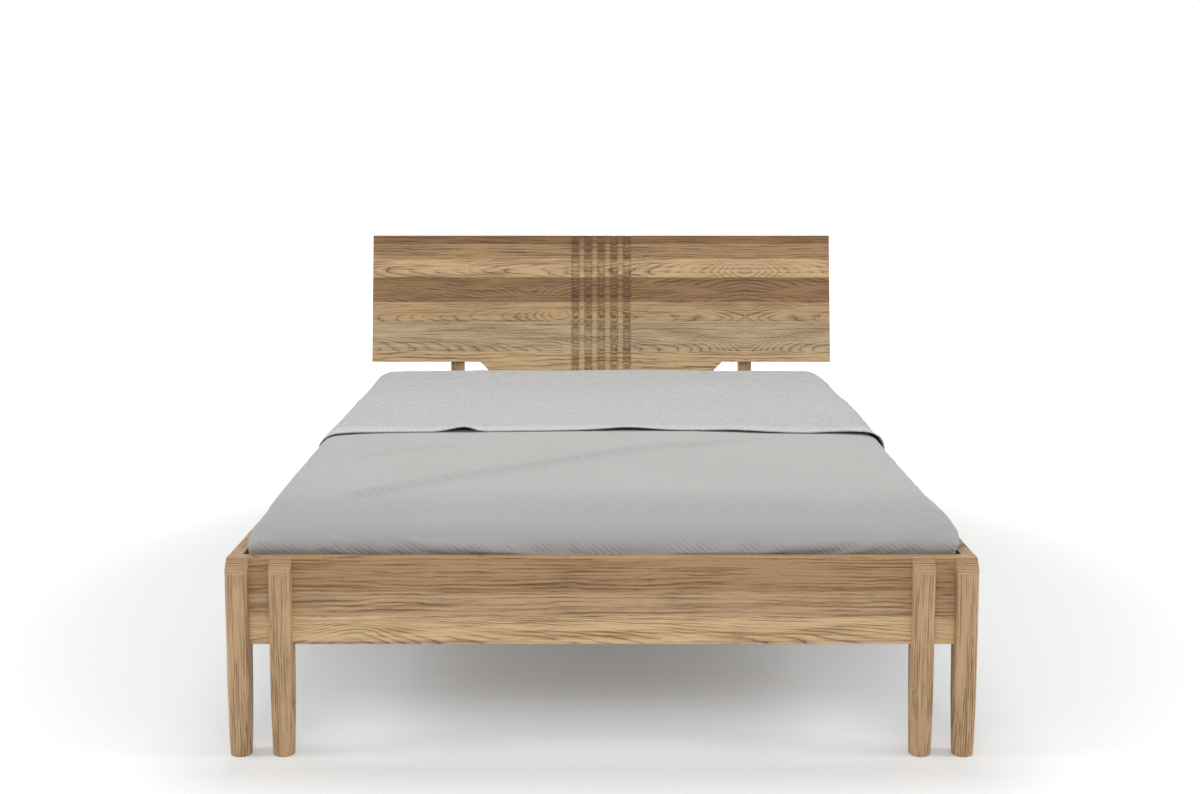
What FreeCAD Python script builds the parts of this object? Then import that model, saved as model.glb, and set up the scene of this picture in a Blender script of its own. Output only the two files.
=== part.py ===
import FreeCAD, Part
import math
import os

# Panel bed in solid wood with a leaning, fluted headboard, a slatted base and a made-up mattress.
# Millimetres. X is across the bed, +Y runs from the foot to the headboard, +Z is up.
# The origin lies on the floor, under the middle of the whole bed.

V = FreeCAD.Vector
Z_AXIS = V(0, 0, 1)
os.makedirs("parts", exist_ok=True)

# Mattress and bedding: the sizes that the frame is made for
mattress_width = 1400.0
mattress_length = 2000.0
mattress_thickness = 168.0
mattress_crown = 5.0
mattress_shoulder = 38.0
mattress_corner = 55.0
mattress_waist = 4.0
corner_ease = 0.5
rest_gap = 0.3
cloth_gap = 0.4
cover_thickness = 6.0
cover_tuck = 45.0
turndown_thickness = 4.6
turndown_tuck = 14.0
turndown_length = 1062.0
bedding_play = 1.6

# Rails: four boards on edge
rail_thickness = 27.0
rail_height = 175.0
rail_underside = 225.0
rail_ease = 2.0

# Legs: pairs of posts in front of the end rails, notched under them
leg_width = 43.0
leg_depth = 64.0
leg_proud = 25.0
leg_corner = 7.5
leg_turning_height = 330.0
leg_bevel_drop = 28.0
leg_pair_pitch = 85.0
foot_diameter = 42.4
foot_ease = 1.5

# Headboard: one glued panel, leaning back
panel_thickness = 25.0
panel_rise = 410.0
panel_underside = 500.0
panel_lean = 9.0
panel_setback = 7.0
panel_ease = 1.5
tab_half_width = 391.0
tab_depth = 45.0
tab_angle = 45.0

# Flutes down the middle of the panel
flute_count = 5
flute_pitch = 41.7
flute_width = 28.6
flute_depth = 7.0

# Posts that carry the headboard
post_width = 42.0
post_depth = 40.0
post_top_depth = 24.0
post_reach = 255.0
post_offset = 466.0
post_ease = 3.0

# Slatted base
slat_count = 14
slat_width = 70.0
slat_thickness = 18.0
slat_top = 290.0
slat_end_clearance = 3.0
slat_first_gap = 8.0
slat_ease = 2.0
ledger_width = 30.0
ledger_height = 30.0
ledger_short = 10.0
tape_width = 25.0
tape_thickness = 1.5
tape_offset = 350.0

# Centre beam, its leg and its hangers
beam_width = 40.0
hanger_sheet = 2.0
hanger_reach = 35.0
hanger_flange = 20.0
hanger_short = 4.0
centre_leg_size = 42.0
centre_foot_diameter = 41.4

# Hook fittings between the side rails and the end rails
plate_width = 18.0
plate_height = 120.0
plate_thickness = 2.5
hook_pitch = 60.0
hook_thickness = 4.0
hook_neck = 10.0
hook_nose = 8.0
hook_reach = 12.0
hook_play = 0.6

# Fasteners: diameter of shank and head, length under or with the head. They and their holes are
# drawn with flat-sided sections.
fastener_sides = 12
dowel_diameter = 8.0
dowel_in_leg = 14.0
dowel_in_rail = 18.0
dowel_rows = (0.28, 0.72)
screw_shank = 5.0
screw_head = 10.0
small_screw_shank = 3.0
small_screw_head = 6.0
post_bolt_shank = 8.0
post_bolt_washer = 16.0
post_bolt_grip = 30.0
post_bolt_head = 5.0
post_bolt_rows = (0.25, 0.75)
panel_screw_bite = 17.0
panel_screw_sunk_share = 0.6
panel_screw_head = 4.0
panel_screw_first = 45.0
panel_screw_pitch = 155.0
panel_screws_each = 2
ledger_screws_each = 4
ledger_screw_inset = 120.0
ledger_screw_row = 0.55
ledger_screw_bite = 18.0
slat_screw_bite = 22.0
plate_screw_length = 16.0
hanger_screw_length = 18.0
stud_diameter = 8.0
stud_length = 60.0

# Folds of the bedding. The hem's course is given in shares of the mattress width and of its wave.
hem_wave = 7.0
hem_course = ((-0.45, -0.2), (-0.27, 0.8), (-0.168, 1.0), (-0.05, -0.3), (0.2, 0.6), (0.45, -0.6))
pleat_height = 5.0
pleat_length = 150.0
pleat_at = -235.0
pleat_angle = 78.0
pleat_radius = 25.0
pleat_overhang = 20.0
hem_margin = 200.0
crease_length = 940.0
crease_height = 4.0
crease_radius = 60.0
crease_angle = 40.0
crease_middle = (-205.0, -480.0)
fold_root = 2.0
crown_share = 0.9

# How far cutting tools run past what they cut, and how closely an edge must match to be picked
cut_margin = 5.0
soft_margin = 1.0
pick_tolerance = 1e-3

# Places that follow from the sizes
mattress_clearance = 2 * cloth_gap + cover_thickness + turndown_thickness + bedding_play
inside_length = mattress_length + 2 * mattress_clearance
bed_width = mattress_width + 2 * mattress_clearance + 2 * rail_thickness
lean = math.radians(panel_lean)
rail_top = rail_underside + rail_height
half_width = bed_width / 2
side_inner = half_width - rail_thickness
leg_outer_x = half_width - leg_width / 2
leg_inner_x = leg_outer_x - leg_pair_pitch
slat_underside = slat_top - slat_thickness
run_to_head = leg_proud + rail_thickness + inside_length
panel_back = panel_setback + panel_rise * math.sin(lean) + panel_thickness * math.cos(lean)
post_tip = post_reach - post_top_depth / 2
post_back_run = post_tip * math.sin(lean) + (panel_thickness + post_top_depth) * math.cos(lean)
overall_length = run_to_head + max(
    panel_back,
    panel_setback + post_back_run,
    rail_thickness + max(leg_proud, post_depth),
)
foot_front = -overall_length / 2
foot_outer = foot_front + leg_proud
foot_inner = foot_outer + rail_thickness
head_inner = foot_inner + inside_length
head_outer = head_inner + rail_thickness
middle_y = (foot_inner + head_inner) / 2


def export(name, shape):
    shape.exportStep("parts/" + name + ".step")


def box(x0, x1, y0, y1, z0, z1):
    return Part.makeBox(x1 - x0, y1 - y0, z1 - z0, V(x0, y0, z0))


def eased(solid, radius, axis):
    """Rounds every straight edge that runs along the given axis."""
    edges = []
    for edge in solid.Edges:
        if abs(abs(edge.tangentAt(edge.FirstParameter).dot(axis)) - 1) < pick_tolerance:
            edges.append(edge)
    return solid.makeFillet(radius, edges)


def group(solids):
    return Part.makeCompound(solids)


def mirrored(shape, normal, place=0.0):
    return shape.mirror(normal * place, normal)


# Fasteners, drawn along +Z with the top of the head at the origin's height


def ring(radius, height):
    """The flat-sided round section of a pin, across the Z axis."""
    points = []
    for index in range(fastener_sides):
        turn = 2 * math.pi * (index + 0.5) / fastener_sides
        points.append(V(radius * math.cos(turn), radius * math.sin(turn), height))
    return Part.makePolygon(points + points[:1])


def pin(diameter, length, start=0.0):
    return Part.Face(ring(diameter / 2, start)).extrude(V(0, 0, length))


def placed(shape, at, direction):
    out = shape.copy()
    out.Placement = FreeCAD.Placement(at, FreeCAD.Rotation(Z_AXIS, direction))
    return out


def countersunk_screw(shank_diameter, head_diameter, length):
    shank = shank_diameter / 2
    head = head_diameter / 2
    sunk = head - shank
    cone = Part.makeLoft([ring(head, 0), ring(shank, sunk)], True, True)
    return cone.fuse(pin(shank_diameter, length - sunk, sunk)).removeSplitter()


def headed_screw(shank_diameter, head_diameter, head_height, length):
    head = pin(head_diameter, head_height)
    body = pin(shank_diameter, length - head_height, head_height)
    return head.fuse(body).removeSplitter()


# Leaning frame of the headboard: u across, t from front to back, v up the slope


def tilt(shape):
    place = FreeCAD.Placement(
        V(0, head_inner + panel_setback, panel_underside),
        FreeCAD.Rotation(V(1, 0, 0), -panel_lean),
    )
    out = shape.copy()
    out.Placement = place.multiply(out.Placement)
    return out


def lean_point(t, v):
    y = head_inner + panel_setback + t * math.cos(lean) + v * math.sin(lean)
    z = panel_underside - t * math.sin(lean) + v * math.cos(lean)
    return y, z


# Hook fittings -------------------------------------------------------------


def hook_heights():
    middle = rail_underside + rail_height / 2
    return (middle - hook_pitch / 2, middle + hook_pitch / 2)


def plate_blank(x, y0, y1):
    middle = rail_underside + rail_height / 2
    blank = box(
        x - plate_width / 2,
        x + plate_width / 2,
        y0,
        y1,
        middle - plate_height / 2,
        middle + plate_height / 2,
    )
    return blank


def hook_profile(x, height):
    """A hook that reaches through the socket plate and hangs down behind it."""
    reach = plate_thickness + hook_play
    y_face = foot_inner
    points = [
        V(x, y_face, height),
        V(x, y_face - reach, height),
        V(x, y_face - reach, height - hook_nose),
        V(x, y_face - hook_reach, height - hook_nose),
        V(x, y_face - hook_reach, height + hook_neck),
        V(x, y_face, height + hook_neck),
        V(x, y_face, height),
    ]
    face = Part.Face(Part.makePolygon(points))
    return face.extrude(V(hook_thickness, 0, 0)).translated(V(-hook_thickness / 2, 0, 0))


def slot_window(x, height, y0, y1):
    """The room that a hook needs to enter its slot before it drops."""
    side = hook_thickness / 2 + hook_play
    top = height + hook_neck + hook_nose + hook_play
    return box(x - side, x + side, y0, y1, height, top)


def plate_screws_at(x, face_y, direction):
    middle = rail_underside + rail_height / 2
    screw = countersunk_screw(small_screw_shank, small_screw_head, plate_screw_length)
    offset = plate_height / 2 - plate_width / 2
    screws = []
    for height in (middle - offset, middle + offset):
        screws.append(placed(screw, V(x, face_y, height), direction))
    return screws


def hook_fitting():
    """The foot end's right-hand fitting: hook plate, socket plate, pocket and screws."""
    x = half_width - rail_thickness / 2
    hook_plate = plate_blank(x, foot_inner, foot_inner + plate_thickness)
    socket = plate_blank(x, foot_inner - plate_thickness, foot_inner)
    pockets = []
    for height in hook_heights():
        hook_plate = hook_plate.fuse(hook_profile(x, height))
        socket = socket.cut(slot_window(x, height, foot_inner - plate_thickness, foot_inner))
        side = hook_thickness / 2 + hook_play
        pockets.append(
            box(
                x - side,
                x + side,
                foot_inner - hook_reach - hook_play,
                foot_inner,
                height - hook_nose - hook_play,
                height + hook_neck + hook_nose + hook_play,
            )
        )
    rail_screws = plate_screws_at(x, foot_inner, V(0, 1, 0))
    socket_screws = plate_screws_at(x, foot_inner, V(0, -1, 0))
    hook_plate = hook_plate.removeSplitter()
    for screw in rail_screws:
        hook_plate = hook_plate.cut(screw)
    for screw in socket_screws:
        socket = socket.cut(screw)
    return hook_plate, socket, pockets, rail_screws, socket_screws


def all_corners(shapes):
    """Copies of a fitting from the foot's right corner to all four corners."""
    out = []
    for shape in shapes:
        right = [shape, mirrored(shape, V(0, 1, 0), middle_y)]
        out.extend(right)
        out.extend([mirrored(one, V(1, 0, 0)) for one in right])
    return out


# Legs ----------------------------------------------------------------------


def round_below(post, foot, diagonal, middle, height):
    """Turns a post: round at the floor, running out to its full corners at a height."""
    slope = (diagonal - foot / 2) / height
    tall = height * 2
    cone = Part.makeCone(foot / 2, foot / 2 + slope * tall, tall, V(0, middle, 0))
    turned = post.common(cone)
    rim = [edge for edge in turned.Edges if edge.BoundBox.ZMax < pick_tolerance]
    return turned.makeChamfer(foot_ease, rim)


def leg_blank():
    """A foot-end leg at X = 0, tapering in depth to a round foot."""
    middle = foot_front + leg_depth / 2
    half = leg_width / 2
    side = [
        V(-half, middle - half, 0),
        V(-half, middle + half, 0),
        V(-half, middle + leg_depth / 2, rail_top),
        V(-half, middle - leg_depth / 2, rail_top),
        V(-half, middle - half, 0),
    ]
    post = Part.Face(Part.makePolygon(side)).extrude(V(leg_width, 0, 0))
    upright = [edge for edge in post.Edges if edge.BoundBox.ZLength > rail_top / 2]
    post = post.makeFillet(leg_corner, upright)
    corner = math.hypot(half, leg_depth / 2)
    return round_below(post, foot_diameter, corner, middle, leg_turning_height)


def notched_leg():
    """The blank cut back under its rail, with a top that slopes down to the front."""
    behind = foot_front + 2 * leg_depth
    above = rail_top + leg_depth
    notch = box(-leg_width, leg_width, foot_outer, behind, rail_underside, above)
    front = foot_front - leg_proud
    back = foot_outer + leg_proud
    slope = Part.makePolygon(
        [
            V(-leg_width, front, rail_top - 2 * leg_bevel_drop),
            V(-leg_width, back, rail_top + leg_bevel_drop),
            V(-leg_width, back, above),
            V(-leg_width, front, above),
            V(-leg_width, front, rail_top - 2 * leg_bevel_drop),
        ]
    )
    wedge = Part.Face(slope).extrude(V(2 * leg_width, 0, 0))
    return leg_blank().cut([notch, wedge])


def leg_dowels_at(x):
    dowel = pin(dowel_diameter, dowel_in_leg + dowel_in_rail)
    start = foot_outer - dowel_in_leg
    out = []
    for share in dowel_rows:
        height = rail_underside + share * rail_height
        out.append(placed(dowel, V(x, start, height), V(0, 1, 0)))
    return out


def make_legs():
    """Eight legs, two at each end of each end rail, and the dowels that hold them."""
    plain = notched_leg()
    names = {}
    dowels = []
    for x, row in ((leg_outer_x, "outer"), (leg_inner_x, "inner")):
        pins = leg_dowels_at(x)
        leg = plain.translated(V(x, 0, 0))
        for pin in pins:
            leg = leg.cut(pin)
        for end in ("foot", "head"):
            at_end = [leg] + pins
            if end == "head":
                at_end = [mirrored(one, V(0, 1, 0), middle_y) for one in at_end]
            for side in ("right", "left"):
                if side == "left":
                    at_side = [mirrored(one, V(1, 0, 0)) for one in at_end]
                else:
                    at_side = at_end
                names["leg_" + end + "_" + row + "_" + side] = at_side[0]
                dowels.extend(at_side[1:])
    return names, dowels


# Rails ---------------------------------------------------------------------


def end_rail(y0):
    rail = box(-half_width, half_width, y0, y0 + rail_thickness, rail_underside, rail_top)
    return eased(rail, rail_ease, V(1, 0, 0))


def side_rail(x0):
    rail = box(x0, x0 + rail_thickness, foot_inner, head_inner, rail_underside, rail_top)
    return eased(rail, rail_ease, V(0, 1, 0))


# Headboard -----------------------------------------------------------------


def headboard_panel():
    """One glued panel with a lower tab, its edges eased, then fluted down the middle."""
    drop = tab_depth
    shrink = drop / math.tan(math.radians(tab_angle))
    outline = [
        V(-half_width, 0, 0),
        V(-half_width, 0, panel_rise),
        V(half_width, 0, panel_rise),
        V(half_width, 0, 0),
        V(tab_half_width, 0, 0),
        V(tab_half_width - shrink, 0, -drop),
        V(-tab_half_width + shrink, 0, -drop),
        V(-tab_half_width, 0, 0),
        V(-half_width, 0, 0),
    ]
    panel = Part.Face(Part.makePolygon(outline)).extrude(V(0, panel_thickness, 0))
    rims = []
    for edge in panel.Edges:
        if abs(edge.tangentAt(edge.FirstParameter).y) < pick_tolerance:
            rims.append(edge)
    panel = panel.makeFillet(panel_ease, rims)
    radius = (flute_width ** 2 / 4 + flute_depth ** 2) / (2 * flute_depth)
    low = -tab_depth - cut_margin
    run = panel_rise + cut_margin - low
    for index in range(flute_count):
        x = (index - (flute_count - 1) / 2) * flute_pitch
        cutter = Part.makeCylinder(radius, run, V(x, flute_depth - radius, low))
        panel = panel.cut(cutter)
    return tilt(panel)


def headboard_post(x):
    """Upright on the head rail's back, with a bend above it to the panel's lean."""
    bend_v = -(panel_setback + panel_thickness * math.cos(lean) - rail_thickness) / math.sin(lean)
    bend_y, bend_z = lean_point(panel_thickness, bend_v)
    top_front = lean_point(panel_thickness, post_reach)
    top_back = lean_point(panel_thickness + post_top_depth, post_tip)
    back_y = head_outer + post_depth
    back_bend = bend_z + post_depth * math.tan(lean / 2)
    points = [
        V(x, head_outer, rail_underside),
        V(x, bend_y, bend_z),
        V(x, top_front[0], top_front[1]),
        V(x, top_back[0], top_back[1]),
        V(x, back_y, back_bend),
        V(x, back_y, rail_underside),
        V(x, head_outer, rail_underside),
    ]
    side = Part.Face(Part.makePolygon(points))
    post = side.extrude(V(post_width, 0, 0)).translated(V(-post_width / 2, 0, 0))
    rear = []
    for edge in post.Edges:
        flat = abs(edge.tangentAt(edge.FirstParameter).x) < pick_tolerance
        long = edge.BoundBox.ZLength > post_depth
        if flat and long and edge.BoundBox.YMin > head_outer + post_top_depth:
            rear.append(edge)
    return post.makeFillet(post_ease, rear)


def post_bolts_at(x):
    grip = rail_thickness + post_bolt_grip
    bolt = headed_screw(post_bolt_shank, post_bolt_washer, post_bolt_head, grip)
    out = []
    for share in post_bolt_rows:
        height = rail_underside + share * rail_height
        out.append(placed(bolt, V(x, head_inner, height), V(0, 1, 0)))
    return out


def panel_screws_at(x):
    """Screws from the post's back into the panel, with sunk heads."""
    out = []
    for index in range(panel_screws_each):
        v = panel_screw_first + index * panel_screw_pitch
        share = v / post_reach
        depth_here = post_depth + (post_top_depth - post_depth) * share
        length = panel_screw_bite + depth_here * panel_screw_sunk_share
        screw = headed_screw(screw_shank, screw_head, panel_screw_head, length)
        back = panel_thickness - panel_screw_bite + length
        upright = placed(screw, V(x, back, v), V(0, -1, 0))
        well = placed(pin(screw_head, post_depth), V(x, back, v), V(0, 1, 0))
        out.append((tilt(upright), tilt(well)))
    return out


# Slatted base --------------------------------------------------------------


def ledger(x0):
    strip = box(
        x0,
        x0 + ledger_width,
        foot_inner + ledger_short,
        head_inner - ledger_short,
        slat_underside - ledger_height,
        slat_underside,
    )
    return strip


def ledger_screw_set():
    """Screws through the right-hand ledger into the side rail."""
    screw = countersunk_screw(screw_shank, screw_head, ledger_width + ledger_screw_bite)
    first = foot_inner + ledger_screw_inset
    last = head_inner - ledger_screw_inset
    height = slat_underside - ledger_height * ledger_screw_row
    out = []
    for index in range(ledger_screws_each):
        y = first + (last - first) * index / (ledger_screws_each - 1)
        out.append(placed(screw, V(side_inner - ledger_width, y, height), V(1, 0, 0)))
    return out


def slat_middle(index):
    first = foot_inner + slat_first_gap + slat_width / 2
    last = head_inner - slat_first_gap - slat_width / 2
    return first + (last - first) * index / (slat_count - 1)


def slat(index):
    y = slat_middle(index)
    reach = side_inner - slat_end_clearance
    board = box(-reach, reach, y - slat_width / 2, y + slat_width / 2, slat_underside, slat_top)
    return eased(board, slat_ease, V(1, 0, 0))


def slat_screw_set():
    """The two end slats are screwed down to the ledgers."""
    screw = countersunk_screw(screw_shank, screw_head, slat_thickness + slat_screw_bite)
    x = side_inner - ledger_width / 2
    out = []
    for index in (0, slat_count - 1):
        for side in (-1, 1):
            at = V(side * x, slat_middle(index), slat_top)
            out.append(placed(screw, at, V(0, 0, -1)))
    return out


def slat_tape(x):
    y0 = slat_middle(0) - slat_width / 2
    y1 = slat_middle(slat_count - 1) + slat_width / 2
    half = tape_width / 2
    return box(x - half, x + half, y0, y1, slat_underside - tape_thickness, slat_underside)


# Centre beam ---------------------------------------------------------------


def centre_beam():
    half = beam_width / 2
    beam = box(
        -half,
        half,
        foot_inner + hanger_sheet,
        head_inner - hanger_sheet,
        rail_underside + hanger_sheet,
        slat_underside,
    )
    return beam


def beam_hanger():
    """Folded steel cradle on the foot rail: back plate with flanges, two cheeks and a sole."""
    half = beam_width / 2
    wide = half + hanger_sheet + hanger_flange
    top = slat_underside - hanger_short
    plate = box(-wide, wide, foot_inner, foot_inner + hanger_sheet, rail_underside, top)
    reach = foot_inner + hanger_reach
    sole = box(
        -half - hanger_sheet,
        half + hanger_sheet,
        foot_inner,
        reach,
        rail_underside,
        rail_underside + hanger_sheet,
    )
    cheek = box(half, half + hanger_sheet, foot_inner, reach, rail_underside, top)
    hanger = plate.fuse(sole).fuse(cheek).fuse(mirrored(cheek, V(1, 0, 0)))
    return hanger.removeSplitter()


def hanger_screws():
    screw = countersunk_screw(small_screw_shank, small_screw_head, hanger_screw_length)
    x = beam_width / 2 + hanger_sheet + hanger_flange / 2
    height = (slat_underside - hanger_short + rail_underside) / 2
    out = []
    for side in (-1, 1):
        at = V(side * x, foot_inner + hanger_sheet, height)
        out.append(placed(screw, at, V(0, -1, 0)))
    return out


def centre_leg():
    """A short leg of the same kind under the middle of the beam."""
    half = centre_leg_size / 2
    height = rail_underside + hanger_sheet
    post = box(-half, half, middle_y - half, middle_y + half, 0, height)
    post = eased(post, leg_corner, Z_AXIS)
    corner = half * math.sqrt(2)
    return round_below(post, centre_foot_diameter, corner, middle_y, height)


def centre_leg_stud():
    height = rail_underside + hanger_sheet
    low = height - stud_length / 2
    return placed(pin(stud_diameter, stud_length), V(0, middle_y, low), Z_AXIS)


# Mattress and bedding ------------------------------------------------------


def crowned_profile(half, low, shoulder_z, radius, crown, waist):
    """A slightly waisted side, a round shoulder each side and a crowned top between."""
    bend = radius * (1 - math.sqrt(0.5))
    right_low = V(half, low, 0)
    right_waist = V(half - waist, (low + shoulder_z - radius) / 2, 0)
    right_side = V(half, shoulder_z - radius, 0)
    right_bend = V(half - bend, shoulder_z - bend, 0)
    right_top = V(half - radius, shoulder_z, 0)
    top = V(0, shoulder_z + crown, 0)

    def flip(point):
        return V(-point.x, point.y, 0)

    def side(start, middle, stop):
        if waist > 0:
            return Part.Arc(start, middle, stop).toShape()
        return Part.makeLine(start, stop)

    edges = [
        Part.makeLine(flip(right_low), right_low),
        side(right_low, right_waist, right_side),
        Part.Arc(right_side, right_bend, right_top).toShape(),
        Part.Arc(right_top, top, flip(right_top)).toShape(),
        Part.Arc(flip(right_top), flip(right_bend), flip(right_side)).toShape(),
        side(flip(right_side), flip(right_waist), flip(right_low)),
    ]
    return Part.Face(Part.Wire(edges))


def plan_prism(half_x, half_y, corner, low, high):
    """A block with round upright corners."""
    block = box(-half_x, half_x, -half_y, half_y, low, high)
    return eased(block, corner, Z_AXIS)


def soft_block(skin, low, waist):
    """The mattress's form, grown outwards by a skin thickness."""
    half_x = mattress_width / 2 + skin
    half_y = mattress_length / 2 + skin
    base = slat_top + rest_gap
    shoulder = base + mattress_thickness + skin
    radius = mattress_shoulder + skin
    across = crowned_profile(half_x, low, shoulder, radius, mattress_crown, waist)
    across.rotate(V(0, 0, 0), V(1, 0, 0), 90)
    across.translate(V(0, half_y + soft_margin, 0))
    body = across.extrude(V(0, -2 * (half_y + soft_margin), 0))
    along = crowned_profile(half_y, low, shoulder, radius, mattress_crown, waist)
    along.rotate(V(0, 0, 0), V(1, 0, 0), 90)
    along.rotate(V(0, 0, 0), Z_AXIS, 90)
    along.translate(V(-half_x - soft_margin, 0, 0))
    body = body.common(along.extrude(V(2 * (half_x + soft_margin), 0, 0)))
    loose = corner_ease
    high = shoulder + 3 * mattress_crown
    corners = plan_prism(
        half_x + loose, half_y + loose, mattress_corner + skin, low - soft_margin, high
    )
    body = body.common(corners)
    body.translate(V(0, middle_y, 0))
    return body


def soft_top():
    """Height of the mattress at the middle of its crown."""
    return slat_top + rest_gap + mattress_thickness + 2 * mattress_crown


def spindle(length, height, radius, at, turn, level):
    """A long low swell: a spindle that lies along a line with only its back showing."""
    half = length / 2
    sag = height + fold_root
    arc = Part.Arc(
        V(-half, radius - sag, 0), V(0, radius, 0), V(half, radius - sag, 0)
    ).toShape()
    wire = Part.Wire(
        [
            arc,
            Part.makeLine(V(half, radius - sag, 0), V(half, 0, 0)),
            Part.makeLine(V(half, 0, 0), V(-half, 0, 0)),
            Part.makeLine(V(-half, 0, 0), V(-half, radius - sag, 0)),
        ]
    )
    solid = Part.Face(wire).revolve(V(0, 0, 0), V(1, 0, 0), 360)
    solid.rotate(V(0, 0, 0), Z_AXIS, turn)
    solid.translate(V(at[0], middle_y + at[1], level + height - radius))
    return solid


def make_cover():
    """A spread over the mattress, tucked down inside the rails, with one slanting crease."""
    low = rail_top - cover_tuck
    inner = soft_block(cloth_gap, low - cut_margin, 0)
    skin = cloth_gap + cover_thickness
    shell = soft_block(skin, low, 0).cut(inner)
    level = soft_top() + skin - mattress_crown * crown_share
    crease = spindle(
        crease_length, crease_height, crease_radius, crease_middle, crease_angle, level
    )
    return shell.fuse(crease.cut(inner)).removeSplitter()


def hem_cutter(skin):
    """Everything on the foot side of the turned-down edge, which waves a little."""
    reach = mattress_width
    hem = middle_y + mattress_length / 2 - turndown_length
    far = foot_front - hem_margin
    points = [V(-reach, hem, 0)]
    for share, wave in hem_course:
        points.append(V(reach * share, hem + hem_wave * wave, 0))
    points.append(V(reach, hem, 0))
    curve = Part.BSplineCurve()
    curve.interpolate(points)
    edges = [
        curve.toShape(),
        Part.makeLine(points[-1], V(reach, far, 0)),
        Part.makeLine(V(reach, far, 0), V(-reach, far, 0)),
        Part.makeLine(V(-reach, far, 0), points[0]),
    ]
    face = Part.Face(Part.Wire(edges))
    return face.extrude(V(0, 0, 2 * rail_top + mattress_thickness + skin))


def make_turndown():
    """The lighter layer, folded down over the spread, with a short pleat at its hem."""
    low = rail_top - turndown_tuck
    inner_skin = 2 * cloth_gap + cover_thickness
    outer_skin = inner_skin + turndown_thickness
    inner = soft_block(inner_skin, low - cut_margin, 0)
    shell = soft_block(outer_skin, low, 0).cut(inner)
    level = soft_top() + outer_skin - mattress_crown * crown_share
    hem = mattress_length / 2 - turndown_length
    at = (pleat_at, hem + pleat_length / 2 - pleat_overhang)
    pleat = spindle(pleat_length, pleat_height, pleat_radius, at, pleat_angle, level)
    shell = shell.fuse(pleat.cut(inner))
    return shell.cut(hem_cutter(outer_skin)).removeSplitter()


# Assembly ------------------------------------------------------------------


def make_frame():
    """Rails, legs, fittings and the slatted base, with each hole cut by what fills it."""
    legs, dowels = make_legs()
    hook_plate, socket, pockets, rail_screws, socket_screws = hook_fitting()
    hook_plates = all_corners([hook_plate])
    sockets = all_corners([socket])
    plate_screws = all_corners(rail_screws + socket_screws)
    pocket_set = all_corners(pockets)
    hangers = [beam_hanger()]
    near_screws = hanger_screws()
    for screw in near_screws:
        hangers[0] = hangers[0].cut(screw)
    hangers.append(mirrored(hangers[0], V(0, 1, 0), middle_y))
    hang_screws = near_screws + [mirrored(one, V(0, 1, 0), middle_y) for one in near_screws]
    bolts = post_bolts_at(post_offset) + post_bolts_at(-post_offset)

    end_cuts = dowels + sockets + pocket_set + plate_screws + hang_screws + bolts
    foot_rail = cut_by(end_rail(foot_outer), end_cuts)
    head_rail = cut_by(end_rail(head_inner), end_cuts)
    right_screws = ledger_screw_set()
    left_screws = [mirrored(one, V(1, 0, 0)) for one in right_screws]
    side_cuts = hook_plates + plate_screws + right_screws + left_screws
    export("foot_rail", foot_rail)
    export("head_rail", head_rail)
    export("side_rail_right", cut_by(side_rail(side_inner), side_cuts))
    export("side_rail_left", cut_by(side_rail(-half_width), side_cuts))
    for name, leg in legs.items():
        export(name, leg)
    export("leg_dowels", group(dowels))
    export("rail_hook_plates", group(hook_plates))
    export("rail_socket_plates", group(sockets))
    export("rail_plate_screws", group(plate_screws))
    export("beam_hanger_foot", hangers[0])
    export("beam_hanger_head", hangers[1])
    export("beam_hanger_screws", group(hang_screws))

    slat_screws = slat_screw_set()
    ledger_cuts = right_screws + left_screws + slat_screws
    export("ledger_right", cut_by(ledger(side_inner - ledger_width), ledger_cuts))
    export("ledger_left", cut_by(ledger(-side_inner), ledger_cuts))
    export("ledger_screws", group(right_screws + left_screws))
    export("slat_screws", group(slat_screws))
    for index in range(slat_count):
        export("slat_%02d" % (index + 1), cut_by(slat(index), slat_screws))
    export("slat_tape_right", slat_tape(tape_offset))
    export("slat_tape_left", slat_tape(-tape_offset))
    stud = centre_leg_stud()
    export("centre_beam", centre_beam().cut(stud))
    export("centre_leg", centre_leg().cut(stud))
    export("centre_leg_stud", stud)
    return bolts


def cut_by(shape, tools):
    near = []
    for tool in tools:
        if shape.BoundBox.intersect(tool.BoundBox):
            near.append(tool)
    if not near:
        return shape
    return shape.cut(near)


def make_headboard(bolts):
    panel = headboard_panel()
    screws = []
    for x, side in ((post_offset, "right"), (-post_offset, "left")):
        post = cut_by(headboard_post(x), bolts)
        for screw, well in panel_screws_at(x):
            screws.append(screw)
            post = post.cut([screw, well])
            panel = panel.cut(screw)
        export("headboard_post_" + side, post)
    export("headboard_panel", panel)
    export("headboard_screws", group(screws))
    export("post_bolts", group(bolts))


def make_bedding():
    base = slat_top + rest_gap
    export("mattress", soft_block(0.0, base, mattress_waist))
    export("cover", make_cover())
    export("turndown", make_turndown())


make_headboard(make_frame())
make_bedding()
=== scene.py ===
import math

import bmesh
import bpy
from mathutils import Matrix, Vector, noise


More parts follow.
